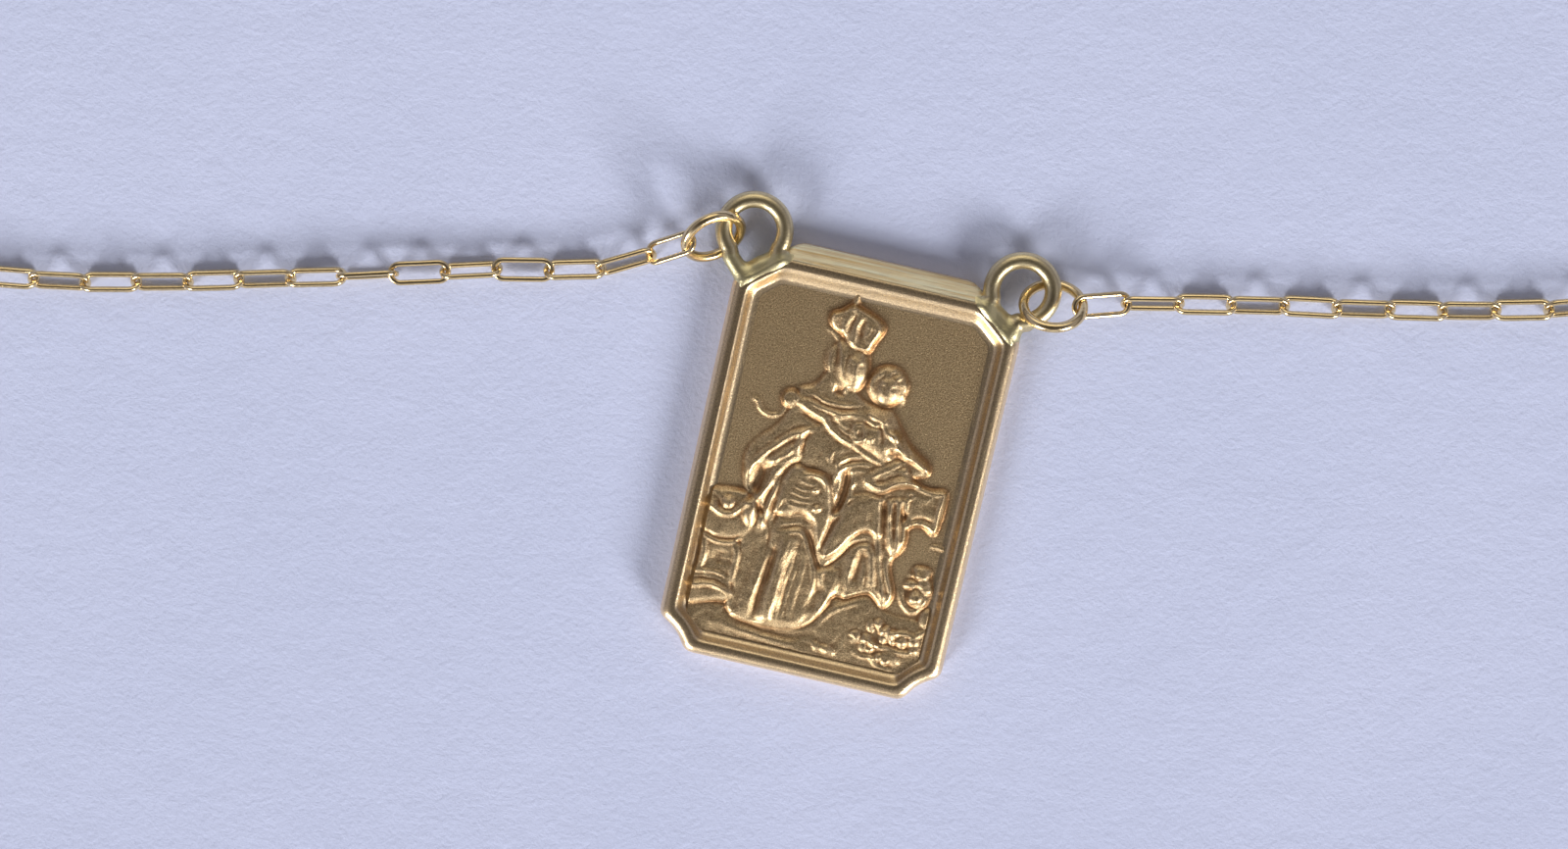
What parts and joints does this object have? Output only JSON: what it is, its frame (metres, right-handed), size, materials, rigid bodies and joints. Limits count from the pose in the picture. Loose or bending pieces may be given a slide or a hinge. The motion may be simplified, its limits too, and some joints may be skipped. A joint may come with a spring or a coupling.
{
  "type": "religious medal pendant on a neck chain",
  "caption": "Cast gold rectangular scapular medal with a framed figure relief, hung by jump rings from two soldered loops in a fine cable chain, laid on a table.",
  "frame": {"origin": "middle of the medal's flat back, on the surface that the pendant lies on", "axes": "+X to the medal's right and +Y to its upper edge as its front is seen, +Z out of its front"},
  "size_m": [0.1887, 0.1953, 0.0028],
  "materials": {
    "cast_gold": "cast gold, sandblasted field, brighter rim and relief",
    "wire_gold": "polished pale gold wire"
  },
  "bodies": {
    "root": {"medal": "cast_gold", "jump_ring_left": "wire_gold", "jump_ring_right": "wire_gold", "chain_link_left_01": "wire_gold", "chain_link_left_02": "wire_gold", "chain_link_left_03": "wire_gold", "chain_link_left_04": "wire_gold", "chain_link_left_05": "wire_gold", "chain_link_left_06": "wire_gold", "chain_link_left_07": "wire_gold", "chain_link_left_08": "wire_gold", "chain_link_left_09": "wire_gold", "chain_link_left_10": "wire_gold", "chain_link_left_11": "wire_gold", "chain_link_left_12": "wire_gold", "chain_link_left_13": "wire_gold", "chain_link_left_14": "wire_gold", "chain_link_right_01": "wire_gold", "chain_link_right_02": "wire_gold", "chain_link_right_03": "wire_gold", "chain_link_right_04": "wire_gold", "chain_link_right_05": "wire_gold", "chain_link_right_06": "wire_gold", "chain_link_right_07": "wire_gold", "chain_link_right_08": "wire_gold", "chain_link_right_09": "wire_gold", "chain_link_right_10": "wire_gold", "chain_hidden_left": "wire_gold", "chain_hidden_right": "wire_gold"}
  },
  "joints": []
}
